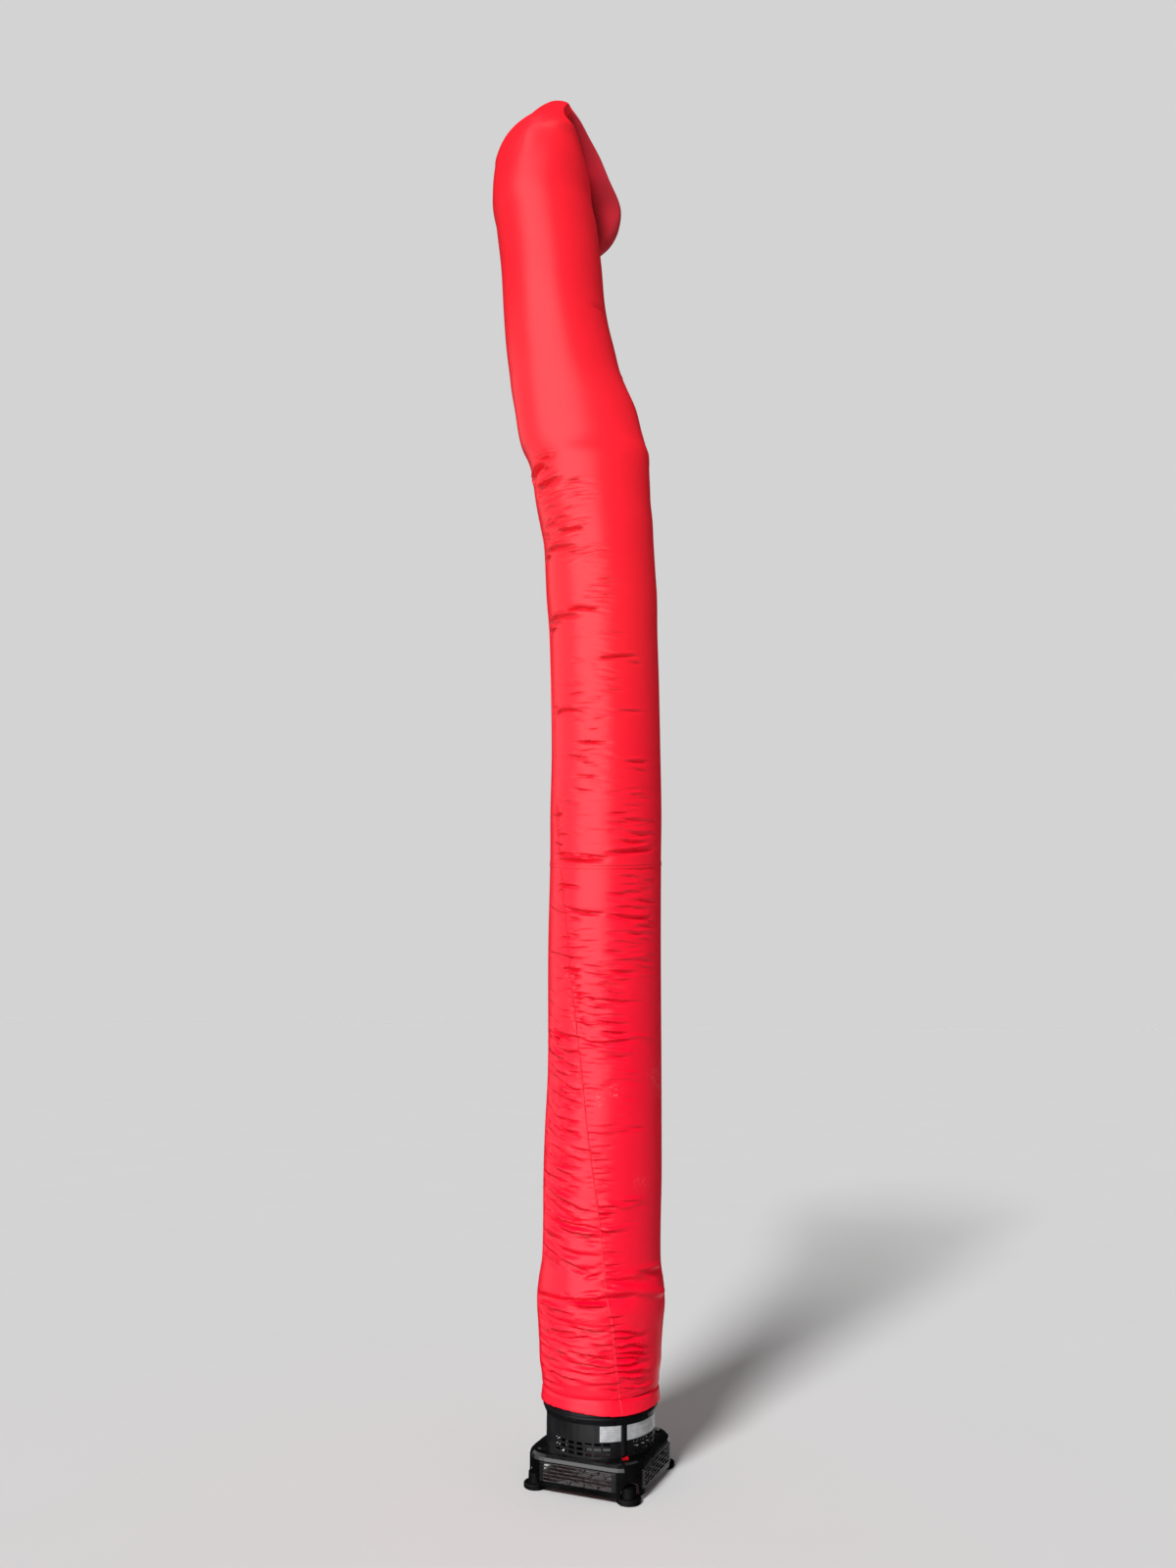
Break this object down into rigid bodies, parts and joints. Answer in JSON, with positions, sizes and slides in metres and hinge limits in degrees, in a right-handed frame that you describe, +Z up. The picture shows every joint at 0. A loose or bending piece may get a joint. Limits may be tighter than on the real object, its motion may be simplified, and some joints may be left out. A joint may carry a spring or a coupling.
{
  "type": "inflatable air dancer on a fan blower",
  "caption": "Tall red nylon air tube with an elbow and a folded tip, strapped over the round outlet of a square black fan blower.",
  "frame": {"origin": "on the ground, under the middle of the bounding box", "axes": "+Z up along the standing tube, -Y towards the blower's front, +X to its right"},
  "size_m": [0.4984, 0.406, 4.0077],
  "materials": {
    "red_nylon": "thin satin-sheen ripstop nylon",
    "black_housing": "semi-gloss moulded black",
    "black_drum": "satin moulded black",
    "black_foot": "hard black rubber",
    "red_rocker": "clear-coated red",
    "zinc": "zinc plated"
  },
  "bodies": {
    "dancer": {"base_housing": "black_housing", "grille_front": "black_housing", "grille_right": "black_housing", "grille_back": "black_housing", "grille_left": "black_housing", "drum": "black_drum", "collar": "black_drum", "cable_duct": "black_drum", "foot_front_right": "black_foot", "foot_back_right": "black_foot", "foot_back_left": "black_foot", "foot_front_left": "black_foot", "switch_frame": "black_foot", "housing_screw": "zinc", "tube_lower": "red_nylon", "tube_upper": "red_nylon"},
    "rocker": {"rocker": "red_rocker"}
  },
  "joints": [
    {"name": "rocker_tilt", "type": "hinge", "parent": "dancer", "child": "rocker", "pos_m": [0.18652, -0.09282, 0.0895], "axis": [0.7071, -0.7071, 0], "range_deg": [-16, 0]}
  ]
}
